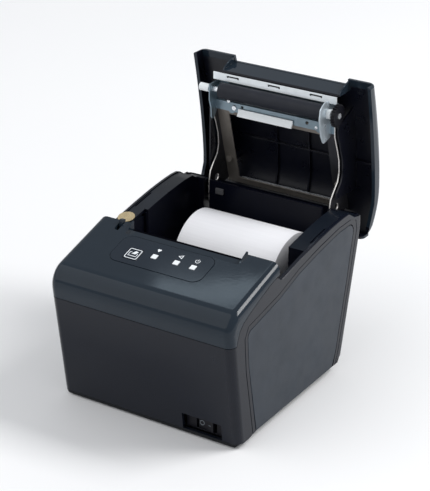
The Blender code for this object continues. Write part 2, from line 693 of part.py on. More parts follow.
# ---------------------------------------------------------------- paper cover (lid)
def make_lid_shell(body):
    skin = curve(lid_z, LID_FRONT, 160.0, 18)
    edge = curve(lambda y: rim_z(y) + 1.0, 141.0, LID_FRONT, 12)
    edges = edged(skin + [(163.4, 117.6)], 6.0)
    edges += edged([(LID_REAR, 112.9), (157.0, 113.2), (150.5, 116.0)] + edge[:-1], 0.0)
    edges += edged(edge[-1:], 2.0)
    shell = crowned_prism(edges, HALF, 6.0, 5)
    lip_half = HALF - 1.5
    lip = rounded([(-lip_half, 115.2), (lip_half, 115.2), (lip_half, LID_LIP_Z, 4.0),
                   (-lip_half, LID_LIP_Z, 4.0)], 4)
    join(shell, prism(lip, LID_REAR - 2.2, LID_REAR - 0.3, "y"))
    inner = curve(lambda y: lid_z(y) - WALL, LID_FRONT - 2.0, 158.6, 15)
    hollow = inner + [(162.2, 115.0), (162.2, 95.0), (LID_FRONT - 2.0, 95.0)]
    cut(shell, prism(hollow, -INNER_HALF, INNER_HALF))
    make_lid_notch(shell)
    for x in (-12.0, 15.0):
        rib = curve(lambda y: lid_z(y) - 4.4, 92.0, 147.0, 6)
        rib += curve(lambda y: lid_z(y) - 1.4, 147.0, 92.0, 6)
        join(shell, prism(rib, x - 0.6, x + 0.6))
    join(shell, box((-69.3, 113.4, lid_z(114.0) - 4.4), (69.3, 114.6, lid_z(114.0) - 1.6)))
    fin = [(80.0, 97.6), (134.0, 97.6)] + curve(lambda y: lid_z(y) - 1.4, 136.0, 71.0, 8)
    join(shell, prism(fin, -53.2, -52.0), prism(fin, 52.0, 53.2))
    for x, y in LID_BOSSES:
        low = frame_z(y) + SHEET
        boss = rod((x, y), 3.0, low + 1.0, lid_z(y) - 1.4, "z", 16)
        join(shell, boss)
        cut(shell, rod((x, y), 1.6, low - 2.0, low + 6.0, "z", 12))
    part("lid_shell", shell, body, "cover_gloss")


def make_lid_notch(shell):
    """Cut the paper notch in the lid's front edge and close it with a leaning wall."""
    x0, x1, floor = LID_NOTCH
    slot = [(x0 - 0.6, 40.0), (x1 + 0.6, 40.0), (x1, floor), (x0, floor)]
    cut(shell, prism(slot, 90.0, 140.0, "z"))
    wall = [(floor, lid_z(floor) - 0.6), (floor + 3.4, lid_z(floor + 3.4) - 0.8),
            (floor + 4.0, 99.5), (floor + 2.5, 99.5)]
    join(shell, prism(wall, x0 - 1.0, x1 + 1.0))
    gusset = [(LID_FRONT + 0.6, lid_z(LID_FRONT) - 0.6), (LID_FRONT + 1.2, 112.4), (52.4, 107.2),
              (54.4, 102.6), (floor + 2.8, 99.5), (floor + 4.0, 99.5),
              (floor + 3.4, lid_z(floor + 3.4) - 0.8)]
    join(shell, prism(gusset, x0 - 1.6, x0 - 0.4), prism(gusset, x1 + 0.4, x1 + 1.6))


def make_lid_frame(body):
    front, rear = FRAME_FRONT[0], 150.4
    plate = prism([(front, frame_z(front)), (rear, frame_z(rear)),
                   (rear, frame_z(rear) + SHEET), (front, frame_z(front) + SHEET)], -51.0, 51.0)
    cut(plate, box((-40.5, 91.0, 90.0), (40.5, 145.0, 130.0)))
    join(plate, box((-37.5, 144.2, frame_z(145.0) - 2.2), (38.0, 145.2, frame_z(145.0) + 0.5)))
    for x, y in LID_BOSSES:
        cut(plate, rod((x, y), 1.6, 95.0, 125.0, "z", 12))
    part("lid_frame", plate, body, "zinc_steel")
    lower = [(79.0, 97.0), (88.0, 97.6), (99.0, 102.0), (108.0, 105.0), (117.0, 105.8),
             (123.5, 104.0), (129.5, 98.6), (134.5, 94.6), (141.5, 93.2), (149.0, 93.0)]
    boss = circle(HINGE, 3.4, 9, -110.0, 60.0)
    upper = [(152.0, 104.0), (150.4, 108.0), (147.6, frame_z(147.6) - 0.08),
             (79.0, frame_z(79.0) - 0.08)]
    arm = lower + boss + upper
    for side, name in ((-1, "hinge_arm_left"), (1, "hinge_arm_right")):
        low, high = sorted((side * (ARM_X - SHEET / 2.0), side * (ARM_X + SHEET / 2.0)))
        piece = cut(prism(arm, low, high), rod(HINGE, 1.8, low - 1.0, high + 1.0, "x", 16),
                    rod((142.0, 103.0), 2.6, low - 1.0, high + 1.0, "x", 16))
        part(name, piece, body, "zinc_steel")
        low, high = sorted((side * 48.6, side * 56.0))
        pin = join(rod(HINGE, 1.5, low, high, "x", 16),
                   rod(HINGE, 2.4, *sorted((side * 48.4, side * 49.5)), "x", 16))
        part(name.replace("arm", "pin"), pin, body, "bright_steel")
    for i, (x, y) in enumerate(LID_BOSSES):
        low = frame_z(y)
        screw = join(rod((x, y), 1.2, low - 1.4, low + 6.0, "z", 12),
                     rod((x, y), 2.6, low - 2.2, low - 0.85, "z", 16))
        part(f"lid_screw_{i + 1}", screw, body, "bright_steel")


def make_platen_bracket(body):
    path = [(59.6, 99.95), (63.2, 99.95), (65.2, 103.4), (78.4, 103.4), (80.2, 99.9), (86.6, 99.7)]
    bracket = prism(ribbon(path, SHEET), -49.2, 49.2)
    cheek = rounded([(65.6, 103.4), (79.6, 103.4), (80.6, 100.6), (87.0, 100.5), (94.4, 95.6, 1.5),
                     (91.6, 93.0, 1.5), (84.0, 92.6), (78.0, 90.4), (66.0, 90.4)], 2)
    left = cut(prism(cheek, -49.2, -48.3), rod(PLATEN, 2.4, -60.0, -40.0, "x", 16))
    hook = rounded([(61.4, 95.6, 1.0), (64.8, 97.2), (64.8, 101.0), (65.8, 103.4), (79.6, 103.4),
                    (80.6, 100.6), (87.8, 100.6, 1.0), (89.6, 98.0), (91.4, 89.8, 1.5), (84.6, 86.2, 3.0),
                    (72.0, 83.4), (64.6, 84.6, 2.5), (61.4, 90.0, 2.0)], 3)
    right = cut(prism(hook, 45.0, 45.9), rod(PLATEN, 3.9, 40.0, 60.0, "x", 16))
    join(bracket, left, right)
    for x in (-33.0, 27.0):
        cut(bracket, rod((x, 82.6), 1.3, 90.0, 110.0, "z", 12))
    part("platen_bracket", bracket, body, "zinc_steel")
    blade = box((-50.4, 58.8, 98.2), (50.4, 64.2, 99.1))
    for x in (-34.0, 0.0, 34.0):
        cut(blade, box((x - 5.0, 60.0, 90.0), (x + 5.0, 61.6, 110.0)))
    part("fixed_blade", blade, body, "bright_steel")
    guide = prism(ribbon([(81.4, 98.4), (85.2, 98.3), (88.4, 96.4)], 1.0), -29.0, 16.0)
    part("paper_guide", guide, body, "white_plastic")
    part("platen_bush_left", cut(rod(PLATEN, 2.9, -59.2, -51.2), rod(PLATEN, 2.3, -70.0, 0.0)),
         body, "white_plastic")
    part("platen_bush_right", cut(rod(PLATEN, 3.5, 42.7, 48.9), rod(PLATEN, 2.3, 0.0, 60.0)),
         body, "white_plastic")


def make_platen(body):
    roller = cut(rod(PLATEN, PLATEN_RADIUS, -PLATEN_HALF, PLATEN_HALF, "x", 40),
                 rod(PLATEN, 2.3, -60.0, 60.0, "x", 20))
    part("platen_roller", roller, body, "platen_rubber")
    part("platen_shaft", rod(PLATEN, 2.0, -59.8, 55.2, "x", 20), body, "bright_steel")
    gear = cut(prism(gear_outline(PLATEN, PLATEN_TEETH, 0.0), *GEAR_X),
               rod(PLATEN, 2.3, 40.0, 60.0, "x", 20))
    part("platen_gear", gear, body, "black_plastic")


# ---------------------------------------------------------------- the whole printer
def clear_scene():
    for old in list(bpy.data.objects):
        bpy.data.objects.remove(old, do_unlink=True)


def build():
    clear_scene()
    origin = add_empty("printer", (0.0, -REST_MID_Y, FOOT_STANDOUT))
    base = (origin, (0.0, 0.0, 0.0))

    def body_at(name, pivot, parent=base, turn=0.0):
        local = Vector(pivot) - Vector(parent[1])
        return add_empty(name, local, parent[0], turn), pivot

    lid = body_at("lid_axis", (0.0, *HINGE), turn=-OPEN_ANGLE)
    platen = body_at("platen_axis", (0.0, *PLATEN), lid)
    roll = body_at("roll_axis", (0.0, *ROLL))
    button = body_at("button_axis", (BUTTON_X, LAMP_Y, cover_z(LAMP_Y)))
    rocker = body_at("rocker_axis", (ROCKER_X, ROCKER_FACE_Y + 3.0, ROCKER_Z))
    idler = body_at("idler_axis", (0.0, *IDLER))
    pinion = body_at("pinion_axis", (0.0, *PINION))
    blade = body_at("blade_axis", (0.0, 46.5, 96.5))
    lever = body_at("lever_axis", (0.0, *LEVER))

    make_base_tray(base)
    make_housing(base)
    make_side_panels(base)
    make_front_cover(base)
    make_controls(base, button)
    make_power_switch(base, rocker)
    make_inner_frame(base)
    make_mechanism(base)
    make_gears(idler, pinion)
    make_cutter(base, blade)
    make_electronics(base)
    make_feet(base)
    make_lever(lever)
    make_seal(base)
    make_roll(roll)
    make_lid_shell(lid)
    make_lid_frame(lid)
    make_platen_bracket(lid)
    make_platen(platen)


build()
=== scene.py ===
"""A desktop receipt printer with its paper cover open.

The CAD model is loaded as a fixed frame. This script gives every part its finish, replaces the
parts whose real shape is finer than the CAD solid, adds the small details, and sets up the studio.
Lengths are in millimetres until they reach Blender, which takes metres.
"""

import json
import math

import bmesh
import bpy
from mathutils import Matrix, Vector

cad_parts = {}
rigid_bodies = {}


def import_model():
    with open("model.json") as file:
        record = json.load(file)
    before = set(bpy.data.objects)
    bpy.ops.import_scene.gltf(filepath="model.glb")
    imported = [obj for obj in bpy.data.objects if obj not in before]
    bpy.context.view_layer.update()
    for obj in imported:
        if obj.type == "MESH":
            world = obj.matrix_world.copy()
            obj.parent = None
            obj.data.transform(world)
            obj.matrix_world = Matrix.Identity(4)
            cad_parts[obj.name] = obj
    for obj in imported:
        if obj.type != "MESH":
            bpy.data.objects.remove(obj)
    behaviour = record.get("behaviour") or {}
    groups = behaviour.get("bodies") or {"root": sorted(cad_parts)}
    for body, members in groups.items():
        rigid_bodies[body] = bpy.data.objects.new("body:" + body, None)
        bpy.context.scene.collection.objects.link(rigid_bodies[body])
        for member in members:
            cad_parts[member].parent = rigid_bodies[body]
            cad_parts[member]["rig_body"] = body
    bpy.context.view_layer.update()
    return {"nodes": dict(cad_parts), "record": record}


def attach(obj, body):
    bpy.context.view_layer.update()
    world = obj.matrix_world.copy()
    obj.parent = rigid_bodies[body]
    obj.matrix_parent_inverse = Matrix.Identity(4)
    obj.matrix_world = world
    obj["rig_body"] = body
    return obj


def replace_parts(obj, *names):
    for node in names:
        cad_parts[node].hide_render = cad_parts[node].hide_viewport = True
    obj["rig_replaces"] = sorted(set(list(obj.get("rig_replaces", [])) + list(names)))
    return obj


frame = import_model()
nodes = frame["nodes"]

MM = 0.001
REST_MID_Y = 88.827          # layout y of the open printer's middle
FOOT_STANDOUT = 1.5          # layout z of the surface the feet stand on is minus this
HINGE_SUM = 253.0            # y plus z of the cover's hinge axis
HINGE_GAP = 59.5             # y less z of the cover's hinge axis
COVER_TOP = (44.0, 116.0)    # a point on the front cover's sloping top (y, z)
COVER_SLOPE = 0.3
MERGE = 0.003 * MM           # points closer than this are one
FLAT = math.radians(0.8)     # faces that turn by less than this are one


# ---------------------------------------------------------------- places
def at(x, y, z):
    """Layout millimetres (from the middle of the front face's foot) to the frame's metres."""
    return Vector((x, y - REST_MID_Y, z + FOOT_STANDOUT)) * MM


def on_lid(x, y, z):
    """A point of the shut cover, carried to where it is with the cover open."""
    return at(x, z + HINGE_GAP, HINGE_SUM - y)


def from_front(x, z, y):
    """Like at, for an outline drawn as seen from the front."""
    return at(x, y, z)


def from_side(y, z, x):
    """Like at, for an outline drawn as seen from the side."""
    return at(x, y, z)


# ---------------------------------------------------------------- node materials
class Finish:
    """A Principled material with short calls for the nodes that vary it."""

    def __init__(self, name, colour, roughness, **sockets):
        self.material = bpy.data.materials.new(name)
        self.material.use_nodes = True
        self.tree = self.material.node_tree
        self.shader = self.tree.nodes["Principled BSDF"]
        self.colour = (*colour, 1.0)
        self.shader.inputs["Base Color"].default_value = self.colour
        self.shader.inputs["Roughness"].default_value = roughness
        for socket, value in sockets.items():
            self.shader.inputs[socket.replace("_", " ")].default_value = value
        self.place = self.add("ShaderNodeTexCoord").outputs["Object"]
        self.normal = None

    def add(self, kind, **inputs):
        node = self.tree.nodes.new(kind)
        for name, value in inputs.items():
            self.put(node.inputs[name.replace("_", " ")], value)
        return node

    def put(self, socket, value):
        if isinstance(value, bpy.types.NodeSocket):
            self.tree.links.new(value, socket)
        else:
            socket.default_value = value

    def scaled(self, x, y, z):
        """Object coordinates stretched along each axis."""
        mapping = self.add("ShaderNodeMapping", Vector=self.place)
        mapping.inputs["Scale"].default_value = (x, y, z)
        return mapping.outputs["Vector"]

    def noise(self, scale, detail=3.0, place=None, roughness=0.5):
        node = self.add("ShaderNodeTexNoise", Vector=place or self.place, Scale=scale,
                        Detail=detail, Roughness=roughness)
        return node.outputs["Fac"]

    def ranged(self, value, from_low, from_high, to_low, to_high):
        node = self.add("ShaderNodeMapRange", Value=value)
        for socket, number in zip(("From Min", "From Max", "To Min", "To Max"),
                                  (from_low, from_high, to_low, to_high)):
            node.inputs[socket].default_value = number
        return node.outputs["Result"]

    def mixed(self, factor, low, high):
        node = self.add("ShaderNodeMix")
        node.data_type = "RGBA"
        self.put(node.inputs["Factor"], factor)
        colour_low, colour_high, colour_out = 6, 7, 2
        self.put(node.inputs[colour_low], low)
        self.put(node.inputs[colour_high], high)
        return node.outputs[colour_out]

    def tint(self, factor, colour):
        """Shift the base colour towards another where factor is 1."""
        now = self.shader.inputs["Base Color"]
        source = now.links[0].from_socket if now.links else tuple(now.default_value)
        self.put(now, self.mixed(factor, source, (*colour, 1.0)))

    def rough(self, factor, low, high):
        """Roughness from low to high as factor goes from 0 to 1."""
        self.put(self.shader.inputs["Roughness"], self.ranged(factor, 0.3, 0.7, low, high))

    def bump(self, height, distance, strength=1.0):
        """Relief of that depth, in millimetres."""
        node = self.add("ShaderNodeBump", Height=height, Strength=strength,
                        Distance=distance * MM)
        if self.normal is not None:
            self.put(node.inputs["Normal"], self.normal)
        self.normal = node.outputs["Normal"]
        self.put(self.shader.inputs["Normal"], self.normal)


def gloss_plastic(name, colour, roughness, peel=0.008):
    """Moulded glossy plastic: faint orange peel, soft smears and a little dust."""
    f = Finish(name, colour, roughness, Specular_IOR_Level=0.24)
    smear = f.noise(28.0, 4.0, f.scaled(1.0, 1.0, 2.2))
    f.rough(smear, roughness * 0.8, roughness * 1.35)
    f.tint(f.ranged(f.noise(55.0, 5.0), 0.45, 0.75, 0.0, 0.25), [c * 1.35 for c in colour])
    dust = f.ranged(f.noise(2600.0, 2.0), 0.72, 0.80, 0.0, 0.12)
    f.tint(dust, (0.20, 0.21, 0.23))
    f.bump(f.noise(420.0, 2.0), peel)
    return f.material


def grained_plastic(name, colour, roughness, grain=0.05, scale=1600.0, specular=0.24):
    """Spark-eroded plastic: an even fine grain with soft patches of wear."""
    f = Finish(name, colour, roughness, Specular_IOR_Level=specular)
    f.tint(f.ranged(f.noise(60.0, 5.0), 0.4, 0.7, 0.0, 0.35), [min(1.0, c * 1.5) for c in colour])
    grains = f.add("ShaderNodeTexVoronoi", Vector=f.place, Scale=scale)
    f.bump(grains.outputs["Distance"], grain)
    f.rough(f.noise(90.0, 4.0), roughness * 0.85, min(1.0, roughness * 1.2))
    return f.material


def plated_sheet(name, colour, roughness, metal):
    """Zinc-plated sheet steel: pale spangle, rolling lines and a few dull patches."""
    f = Finish(name, colour, roughness, Metallic=metal)
    crystals = f.add("ShaderNodeTexVoronoi", Vector=f.place, Scale=240.0)
    shade = f.add("ShaderNodeSeparateColor", Color=crystals.outputs["Color"])
    f.tint(f.ranged(shade.outputs["Red"], 0.0, 1.0, 0.0, 0.35), [c * 0.78 for c in colour])
    f.tint(f.ranged(f.noise(45.0, 5.0), 0.45, 0.75, 0.0, 0.4), [c * 0.82 for c in colour])
    f.rough(f.noise(70.0, 4.0), roughness * 0.8, roughness * 1.35)
    f.bump(f.noise(130.0, 2.0, f.scaled(0.5, 14.0, 14.0)), 0.006)
    return f.material


def machined_metal(name, colour, roughness, metal):
    """Ground or drawn metal: fine parallel lines and slight tarnish."""
    f = Finish(name, colour, roughness, Metallic=metal, Anisotropic=0.3)
    lines = f.noise(90.0, 3.0, f.scaled(1.0, 30.0, 30.0))
    f.rough(lines, roughness * 0.7, roughness * 1.5)
    f.tint(f.ranged(f.noise(80.0, 4.0), 0.45, 0.8, 0.0, 0.35), [c * 0.7 for c in colour])
    f.bump(lines, 0.004)
    return f.material


def gold_seal(name, colour, roughness):
    """Foil paper with a fine woven pattern inside a border ring."""
    f = Finish(name, colour, roughness, Metallic=0.35)
    weave = f.add("ShaderNodeTexWave", Vector=f.place, Scale=420.0, Distortion=9.0)
    weave.inputs["Detail"].default_value = 3.0
    f.tint(f.ranged(weave.outputs["Fac"], 0.45, 0.75, 0.0, 0.75), [c * 0.42 for c in colour])
    f.tint(f.ranged(f.noise(240.0, 4.0), 0.5, 0.7, 0.0, 0.5), [c * 0.6 for c in colour])
    f.bump(weave.outputs["Fac"], 0.03)
    return f.material


def rolled_paper(name, colour):
    """Thermal paper: smooth round the roll, with the edges of its layers on the ends."""
    f = Finish(name, colour, 0.62, Specular_IOR_Level=0.3)
    layers = f.noise(700.0, 2.0, f.scaled(0.02, 1.0, 1.0))
    f.tint(f.ranged(layers, 0.35, 0.65, 0.0, 0.25), [c * 0.88 for c in colour])
    f.tint(f.ranged(f.noise(35.0, 3.0), 0.4, 0.7, 0.0, 0.2), [c * 0.95 for c in colour])
    f.bump(layers, 0.01)
    return f.material


MATERIALS = {
    "cover_gloss": gloss_plastic("cover_gloss", (0.013, 0.021, 0.031), 0.065),
    "case_gloss": gloss_plastic("case_gloss", (0.0062, 0.0082, 0.0145), 0.12),
    "film": gloss_plastic("film", (0.012, 0.019, 0.029), 0.07, 0.003),
    "panel_satin": grained_plastic("panel_satin", (0.018, 0.025, 0.036), 0.34, 0.012),
    "inner_plastic": grained_plastic("inner_plastic", (0.0018, 0.0024, 0.0068), 0.36, 0.02,
                                     specular=0.16),
    "lid_inner": grained_plastic("lid_inner", (0.0034, 0.004, 0.0088), 0.30, 0.02, specular=0.32),
    "pod_plastic": grained_plastic("pod_plastic", (0.006, 0.009, 0.015), 0.30, 0.02),
    "base_plastic": grained_plastic("base_plastic", (0.005, 0.006, 0.008), 0.50),
    "black_plastic": grained_plastic("black_plastic", (0.005, 0.005, 0.008), 0.34, 0.02),
    "white_plastic": grained_plastic("white_plastic", (0.88, 0.92, 0.94), 0.32, 0.01),
    "print_grey": grained_plastic("print_grey", (0.16, 0.18, 0.20), 0.40, 0.01),
    "rubber": grained_plastic("rubber", (0.010, 0.010, 0.012), 0.80, 0.08, 900.0),
    "platen_rubber": grained_plastic("platen_rubber", (0.013, 0.015, 0.022), 0.46, 0.015, 2200.0),
    "zinc_steel": plated_sheet("zinc_steel", (0.24, 0.31, 0.36), 0.34, 0.75),
    "pale_steel": plated_sheet("pale_steel", (0.62, 0.70, 0.76), 0.30, 0.6),
    "dull_steel": plated_sheet("dull_steel", (0.27, 0.245, 0.22), 0.42, 0.55),
    # dark_steel is a darkened copy of the steel: painted shade on the hinge arms' broad faces and
    # on the frame strip that the arm shades
    "dark_steel": plated_sheet("dark_steel", (0.045, 0.045, 0.052), 0.38, 0.7),
    "bright_steel": machined_metal("bright_steel", (0.86, 0.89, 0.92), 0.22, 0.75),
    "blade_steel": machined_metal("blade_steel", (0.88, 0.93, 0.96), 0.36, 0.25),
    # pale steel on the hinge arms' edges, partly cut metal and partly painted highlight
    "arm_edge_highlight": machined_metal("arm_edge_highlight", (0.80, 0.77, 0.74), 0.28, 0.35),
    "aluminium": machined_metal("aluminium", (0.72, 0.73, 0.74), 0.30, 1.0),
    "paper": rolled_paper("paper", (0.90, 0.90, 0.93)),
    # near-black with almost no gloss: painted shade on the lower step of the paper ledge
    "ledge_shade_black": grained_plastic("ledge_shade_black", (0.001, 0.0012, 0.003), 0.9, 0.03, specular=0.03),
    "contact_gold": machined_metal("contact_gold", (0.78, 0.60, 0.28), 0.28, 1.0),
    "catch_grey": grained_plastic("catch_grey", (0.07, 0.07, 0.075), 0.42, 0.02),
    "card": grained_plastic("card", (0.42, 0.34, 0.24), 0.85, 0.06, 700.0),
    "lamp": grained_plastic("lamp", (0.84, 0.88, 0.92), 0.30, 0.01),
    "seal": gold_seal("seal", (0.62, 0.50, 0.29), 0.42),
    "board_green": grained_plastic("board_green", (0.015, 0.13, 0.055), 0.35, 0.01),
    "ceramic": grained_plastic("ceramic", (0.70, 0.68, 0.62), 0.25, 0.005),
}

slots = {p["node"]: p["material_slot"] for p in frame["record"]["subparts"]}
for name, node in nodes.items():
    node.data.materials.clear()
    node.data.materials.append(MATERIALS[slots[name]])


# ---------------------------------------------------------------- mesh building
def link(name, shape, materials, body, smooth=40.0):
    """Turn a bmesh in metres into a piece that rides on a CAD body."""
    mesh = bpy.data.meshes.new(name)
    shape.to_mesh(mesh)
    shape.free()
    for material in materials:
        mesh.materials.append(material)
    mesh.shade_smooth()
    mesh.set_sharp_from_angle(angle=math.radians(smooth))
    piece = bpy.data.objects.new(name, mesh)
    bpy.context.scene.collection.objects.link(piece)
    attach(piece, body)
    return piece


def loft(rings, closed=True):
    """A skin through rings of points, with flat ends."""
    shape = bmesh.new()
    levels = [[shape.verts.new(point) for point in ring] for ring in rings]
    count = len(levels[0])
    for low, high in zip(levels, levels[1:]):
        for i in range(count):
            j = (i + 1) % count
            shape.faces.new((low[i], low[j], high[j], high[i]))
    if closed:
        shape.faces.new(levels[0][::-1])
        shape.faces.new(levels[-1])
    bmesh.ops.recalc_face_normals(shape, faces=shape.faces)
    return shape


def slab(outline, low, high, place, edge=0.0):
    """An outline between two levels, its edges rounded; place(a, b, level) gives the point."""
    rings = [[place(a, b, low) for a, b in outline], [place(a, b, high) for a, b in outline]]
    shape = loft(rings)
    if edge:
        round_edges(shape, edge, 50.0, 2)
    return shape


def round_edges(shape, width, angle, segments):
    """Round every edge that turns by more than an angle."""
    sharp = [e for e in shape.edges
             if len(e.link_faces) == 2 and e.calc_face_angle(0.0) > math.radians(angle)]
    if sharp:
        bmesh.ops.bevel(shape, geom=sharp, offset=width * MM, offset_type="OFFSET",
                        segments=segments, profile=0.6, affect="EDGES", clamp_overlap=True)


def disc(radius, count=24, centre=(0.0, 0.0)):
    turns = [2.0 * math.pi * k / count for k in range(count)]
    return [(centre[0] + radius * math.cos(t), centre[1] + radius * math.sin(t)) for t in turns]


def soft_box(x0, y0, x1, y1, radius, steps=5):
    """A rectangle with rounded corners."""
    outline = []
    for cx, cy, start in ((x1 - radius, y1 - radius, 0), (x0 + radius, y1 - radius, 90),
                          (x0 + radius, y0 + radius, 180), (x1 - radius, y0 + radius, 270)):
        for k in range(steps + 1):
            turn = math.radians(start + 90.0 * k / steps)
            outline.append((cx + radius * math.cos(turn), cy + radius * math.sin(turn)))
    return outline


def band(points, width):
    """Outline of a line of that width along an open path of flat points."""
    left, right = [], []
    for i, point in enumerate(points):
        ahead = Vector(points[min(i + 1, len(points) - 1)])
        behind = Vector(points[max(i - 1, 0)])
        along = (ahead - behind).normalized()
        side = Vector((-along.y, along.x)) * width / 2.0
        left.append(tuple(Vector(point) + side))
        right.append(tuple(Vector(point) - side))
    return left + right[::-1]


def joined(shapes):
    """Several bmeshes as one."""
    whole = bmesh.new()
    for shape in shapes:
        scratch = bpy.data.meshes.new("scratch")
        shape.to_mesh(scratch)
        shape.free()
        whole.from_mesh(scratch)
        bpy.data.meshes.remove(scratch)
    return whole


def carved(shape, cutter):
    """Take one bmesh out of another."""
    objects = []
    for part in (shape, cutter):
        mesh = bpy.data.meshes.new("scratch")
        part.to_mesh(mesh)
        part.free()
        objects.append(bpy.data.objects.new("scratch", mesh))
        bpy.context.scene.collection.objects.link(objects[-1])
    step = objects[0].modifiers.new("carve", "BOOLEAN")
    step.operation = "DIFFERENCE"
    step.solver = "MANIFOLD"
    step.object = objects[1]
    graph = bpy.context.evaluated_depsgraph_get()
    result = bmesh.new()
    result.from_object(objects[0], graph)
    for thing in objects:
        bpy.data.objects.remove(thing, do_unlink=True)
    return result


def refined(name, width, *zones, cutter=None, angle=34.0, segments=2, base=None, splits=()):
    """The CAD part again with its edges rounded off, in place of the plain node.

    Each zone is a finish and a test, of a face's middle in layout millimetres and its direction,
    that says which faces have it. base is a finish other than the slot's own. Faces are parted at
    the planes of constant x in splits, so that a zone can end there.
    """
    shape = bmesh.new()
    shape.from_mesh(nodes[name].data)
    bmesh.ops.remove_doubles(shape, verts=shape.verts, dist=MERGE)
    if cutter is not None:
        shape = carved(shape, cutter)
        bmesh.ops.remove_doubles(shape, verts=shape.verts, dist=MERGE)
    bmesh.ops.dissolve_limit(shape, angle_limit=FLAT, verts=shape.verts,
                             edges=shape.edges)
    for x in splits:
        bmesh.ops.bisect_plane(shape, geom=shape.verts[:] + shape.edges[:] + shape.faces[:],
                               plane_co=at(x, 0.0, 0.0), plane_no=(1.0, 0.0, 0.0))
    round_edges(shape, width, angle, segments)
    materials = [MATERIALS[base or slots[name]]]
    for k, (finish, test) in enumerate(zones):
        materials.append(MATERIALS[finish])
        for face in shape.faces:
            x, y, z = face.calc_center_median() / MM
            if test(Vector((x, y + REST_MID_Y, z - FOOT_STANDOUT)), face.normal):
                face.material_index = k + 1
    piece = link(name + "_detail", shape, materials, nodes[name]["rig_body"], angle)
    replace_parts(piece, name)
    smooth = piece.modifiers.new("even normals", "WEIGHTED_NORMAL")
    smooth.keep_sharp = True
    return piece


# ---------------------------------------------------------------- casing
def lid_height(y):
    """Height of the shut cover's outside, along its middle."""
    if y < 132.5:
        return 130.6 - 0.01245 * (132.5 - y) ** 1.61
    return 130.6 - 0.0116 * (y - 132.5) ** 2


def inside_lid(p, _):
    """True in the hollow of the cover, from a place with the cover open."""
    shut_y, shut_z = HINGE_SUM - p.z, p.y - HINGE_GAP
    notch_wall = 54.7 + 0.152 * (116.0 - shut_z)
    if -43.8 < p.x < 52.4 and shut_y < notch_wall:
        return False
    return abs(p.x) < 70.1 and shut_y > 50.0 and shut_z < lid_height(shut_y) - 1.2


def inside_case(p, _):
    return abs(p.x) < 70.2 and -0.145 * p.z + 1.6 < p.y < 134.8 + 0.243 * p.z


def cover_height(y):
    """Height of the front cover's sloping top."""
    return COVER_TOP[1] + COVER_SLOPE * (y - COVER_TOP[0])


def paper_ledge(p, normal):
    """True on the lower step of the paper ledge in the front cover."""
    below_top = cover_height(p.y) - p.z
    return -44.1 < p.x < 46.2 and p.y > 44.6 and below_top > 2.6 and normal.z > 0.3


def pod_top(p, normal):
    return abs(p.x) > 57.0 and normal.z > 0.7


def broad_face(_, normal):
    """True on the broad faces of a sheet that stands upright along the printer."""
    return abs(normal.x) > 0.8


def panel_line(offset):
    """The side panel's outline moved outward, from the foot at the front over to the back."""
    points = [(20.0, 4.0), (10.2, 56.0), (8.2, 80.0), (10.2, 84.2), (48.3, 91.6), (74.0, 99.8),
              (101.0, 105.3), (128.0, 109.2), (144.0, 109.5), (149.2, 107.4), (150.0, 103.0),
              (141.6, 66.8), (129.0, 16.0), (125.0, 6.0)]
    moved = []
    for i, point in enumerate(points):
        along = (Vector(points[min(i + 1, len(points) - 1)])
                 - Vector(points[max(i - 1, 0)])).normalized()
        moved.append((point[0] - along.y * offset, point[1] + along.x * offset))
    return moved


def fin_hollow():
    """Cutter that hollows the edge of the cover's right fin to follow the hinge arm's bend."""
    bend = [(84.0, 96.0), (88.0, 98.6), (99.0, 102.9), (108.0, 105.9), (117.0, 106.7),
            (123.5, 104.9), (129.5, 99.4), (131.5, 96.0)]
    return slab(bend, 51.7, 53.6, lambda y, z, x: on_lid(x, y, z))


def rim_height(y):
    """Height of the housing's side rims."""
    return 118.6 - 0.0172 * abs(137.0 - y) ** 1.5


def deck_slots():
    """Cutters for the narrow slot along the outer edge of each deck beside the paper well."""
    cutters = []
    for side, front in ((-1.0, 84.0), (1.0, 94.0)):
        line = [front + 4.0 * k for k in range(6)]
        outline = [(y, rim_height(y) - 2.3) for y in line]
        outline += [(y, rim_height(y) + 1.0) for y in reversed(line)]
        cutters.append(slab(outline, side * 67.9, side * 69.0, from_side))
    return joined(cutters)


def make_casing():
    grooves = []
    for side in (-1.0, 1.0):
        line = band(panel_line(3.4), 0.7)
        grooves.append(slab(line, side * 72.2, side * 73.5, from_side))
    refined("main_housing", 0.45, ("inner_plastic", inside_case), cutter=joined(grooves))
    # the lower step of the paper ledge is painted near-black as shade
    refined("front_cover", 0.35, ("ledge_shade_black", paper_ledge))
    refined("lid_shell", 0.5, ("lid_inner", inside_lid), cutter=fin_hollow())
    refined("inner_frame", 0.3, ("pod_plastic", pod_top), cutter=deck_slots())
    refined("base_tray", 0.3)
    for name in ("left_side_panel", "right_side_panel"):
        refined(name, 0.3)
    refined("release_lever", 0.25)


# ---------------------------------------------------------------- controls
# sizes that the CAD has too: the lamps and the key on the front cover's slope
LAMP_Y = 24.2
SLOPE = math.atan(COVER_SLOPE)
LAMP_X = (-11.0, 6.4, 19.7)
BUTTON_X, BUTTON_V = -26.0, -3.2


def on_panel(x, v, h):
    """A point on the sloping control panel: across, up the slope, and out from it."""
    return at(x, LAMP_Y + v * math.cos(SLOPE) - h * math.sin(SLOPE),
              cover_height(LAMP_Y) + v * math.sin(SLOPE) + h * math.cos(SLOPE))


def ring(outer, inner):
    """A closed band between two outlines with the same number of points."""
    shape = bmesh.new()
    levels = []
    for outline, h in ((outer, -0.05), (outer, 0.31), (inner, 0.31), (inner, -0.05)):
        levels.append([shape.verts.new(on_panel(a, b, h)) for a, b in outline])
    count = len(outer)
    for k in range(4):
        low, high = levels[k], levels[(k + 1) % 4]
        for i in range(count):
            j = (i + 1) % count
            shape.faces.new((low[i], low[j], high[j], high[i]))
    bmesh.ops.recalc_face_normals(shape, faces=shape.faces)
    return shape


